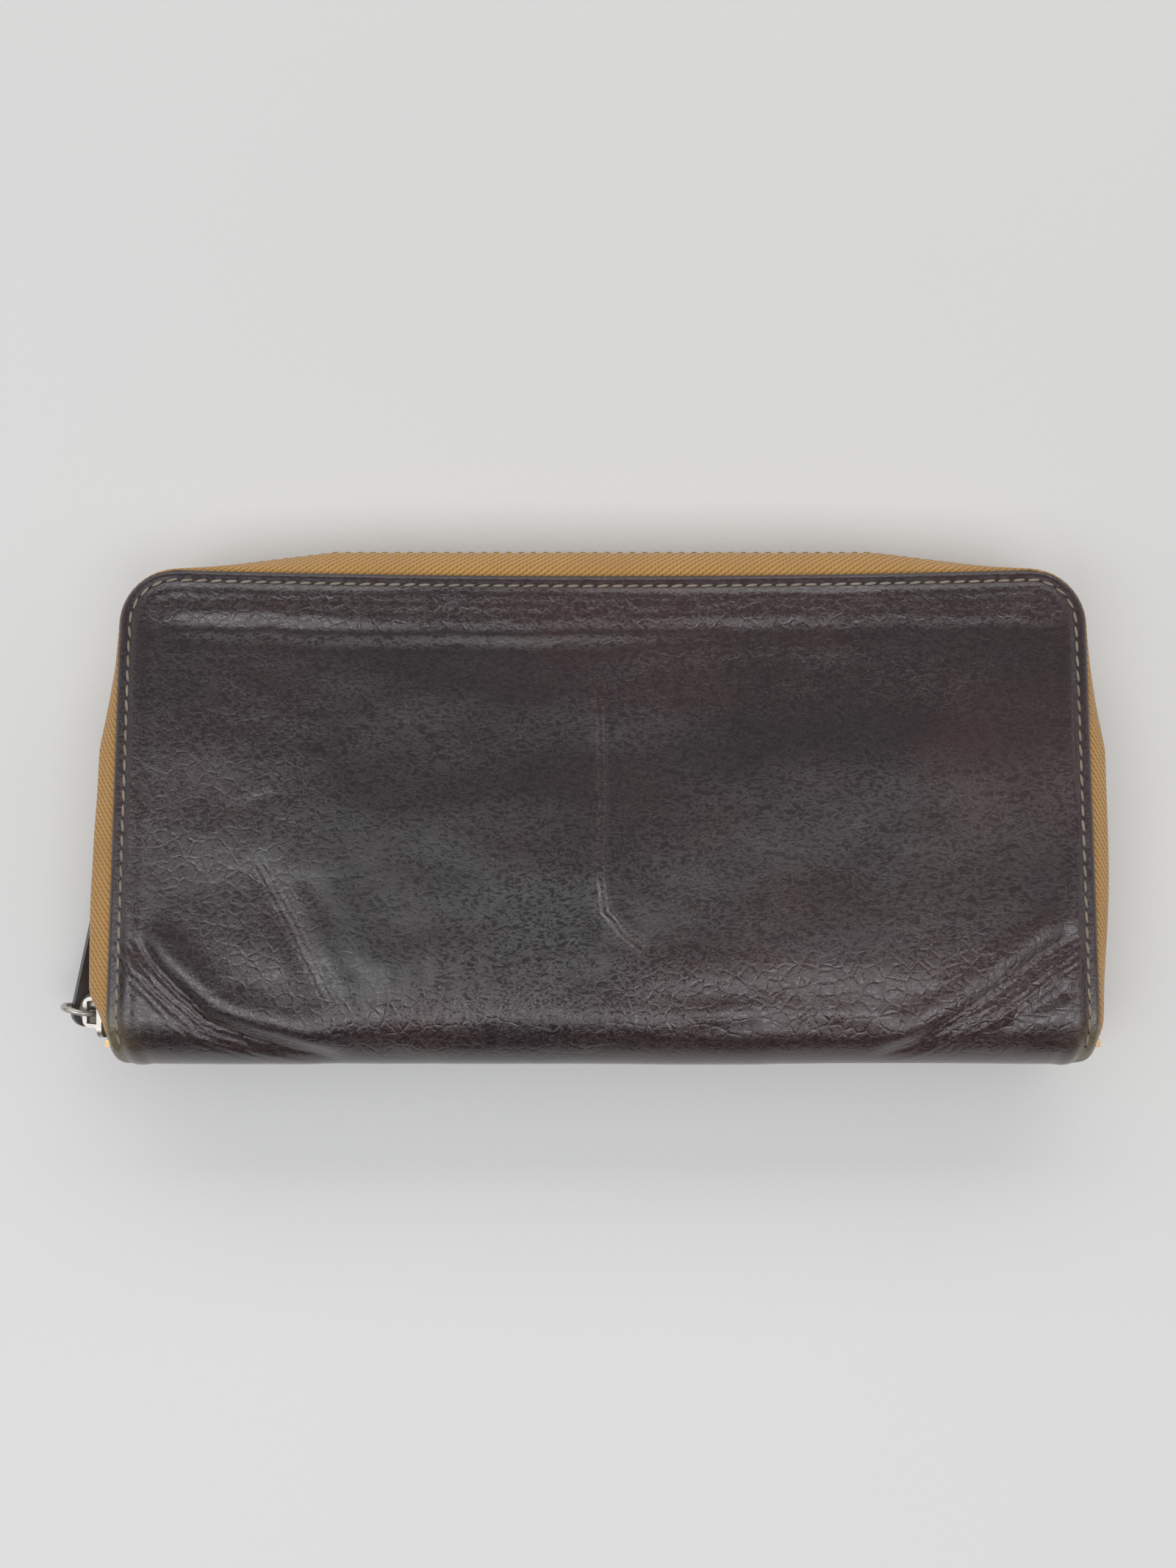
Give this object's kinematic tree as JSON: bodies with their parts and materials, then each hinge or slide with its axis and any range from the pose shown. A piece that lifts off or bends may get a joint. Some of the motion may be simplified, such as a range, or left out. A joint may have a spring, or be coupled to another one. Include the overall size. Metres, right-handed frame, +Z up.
{
  "type": "zip-around wallet",
  "caption": "Long leather wallet closed by a zip round three sides, with a ring and leather pull, card slots, gusseted note pockets and a zipped coin pocket.",
  "frame": {"origin": "middle of the back cover's flat underside, on the surface the wallet lies on", "axes": "+X along the spine, towards the end away from the parked slider; +Y from the spine to the zip side; +Z up, from the back cover to the front cover"},
  "size_m": [0.2151, 0.1062, 0.024],
  "materials": {
    "cover_leather": "glossy, creased espresso brown",
    "board": "matte",
    "lining_leather": "matte tan",
    "pocket_leather": "satin tan",
    "thread": "waxed thread",
    "zip_tape": "woven ochre twill",
    "zip_brass": "antique brass",
    "nickel": "satin nickel plate",
    "tab_leather": "satin dark brown"
  },
  "bodies": {
    "back": {"back_cover": "cover_leather", "back_board": "board", "back_lining": "lining_leather", "back_topstitch": "thread", "back_zip_tape": "zip_tape", "back_zip_teeth": "zip_brass", "back_top_stop": "zip_brass", "zip_end_stop": "zip_brass", "back_card_slot_1": "pocket_leather", "back_card_slot_2": "pocket_leather", "back_card_slot_3": "pocket_leather", "back_card_slot_4": "pocket_leather"},
    "front": {"front_cover": "cover_leather", "front_board": "board", "front_lining": "lining_leather", "front_topstitch": "thread", "front_zip_tape": "zip_tape", "front_zip_teeth": "zip_brass", "front_top_stop": "zip_brass", "front_card_slot_1": "pocket_leather", "front_card_slot_2": "pocket_leather", "front_card_slot_3": "pocket_leather", "front_card_slot_4": "pocket_leather"},
    "back_gussets": {"back_gusset_left": "lining_leather", "back_gusset_right": "lining_leather"},
    "front_gussets": {"front_gusset_left": "lining_leather", "front_gusset_right": "lining_leather"},
    "coin_pocket": {"coin_panel_back": "pocket_leather", "coin_panel_front": "pocket_leather", "coin_pocket_edge": "pocket_leather", "coin_zip_tape_back": "zip_tape", "coin_zip_tape_front": "zip_tape", "coin_zip_teeth_back": "zip_brass", "coin_zip_teeth_front": "zip_brass", "coin_zip_stops": "zip_brass"},
    "coin_slider": {"coin_slider": "zip_brass"},
    "coin_pull": {"coin_pull": "zip_brass"},
    "slider": {"slider_body": "nickel", "slider_bridge": "nickel"},
    "ring": {"pull_ring": "nickel"},
    "tab": {"pull_eyelet": "nickel", "pull_tab_outer": "tab_leather", "pull_tab_inner": "tab_leather"}
  },
  "joints": [
    {"name": "front_open", "type": "hinge", "parent": "back", "child": "front", "pos_m": [0, -0.05, 0.012], "axis": [1, 0, 0], "range_deg": [0, 65]},
    {"name": "coin_pocket_fan", "type": "hinge", "parent": "back", "child": "coin_pocket", "pos_m": [0, -0.05, 0.012], "axis": [1, 0, 0], "range_deg": [0, 32.5]},
    {"name": "back_gusset_fan", "type": "hinge", "parent": "back", "child": "back_gussets", "pos_m": [0, -0.05, 0.012], "axis": [1, 0, 0], "range_deg": [0, 16.25]},
    {"name": "front_gusset_fan", "type": "hinge", "parent": "back", "child": "front_gussets", "pos_m": [0, -0.05, 0.012], "axis": [1, 0, 0], "range_deg": [0, 48.75]},
    {"name": "zip_slide", "type": "slide", "parent": "back", "child": "slider", "axis": [-0.0328, 0.9995, 0], "range_m": [0, 0.045], "deforming": ["back_zip_teeth", "front_zip_teeth"]},
    {"name": "ring_swing", "type": "hinge", "parent": "slider", "child": "ring", "pos_m": [-0.10423, -0.04014, 0.012], "axis": [-0.0328, 0.9995, 0], "range_deg": [0, 45]},
    {"name": "tab_swing", "type": "hinge", "parent": "ring", "child": "tab", "pos_m": [-0.10613, -0.03943, 0.00765], "axis": [0.6245, 0.0515, 0.7794], "range_deg": [0, 30]},
    {"name": "coin_zip_slide", "type": "slide", "parent": "coin_pocket", "child": "coin_slider", "axis": [1, 0, 0], "range_m": [0, 0.148], "deforming": ["coin_zip_teeth_back", "coin_zip_teeth_front"]},
    {"name": "coin_pull_swing", "type": "hinge", "parent": "coin_slider", "child": "coin_pull", "pos_m": [-0.077, 0.0437, 0.012], "axis": [0, 0, 1], "range_deg": [0, 150]}
  ],
  "couplings": [
    {"joint": "coin_pocket_fan", "follows": "front_open", "ratio": 0.5},
    {"joint": "back_gusset_fan", "follows": "front_open", "ratio": 0.25},
    {"joint": "front_gusset_fan", "follows": "front_open", "ratio": 0.75}
  ]
}
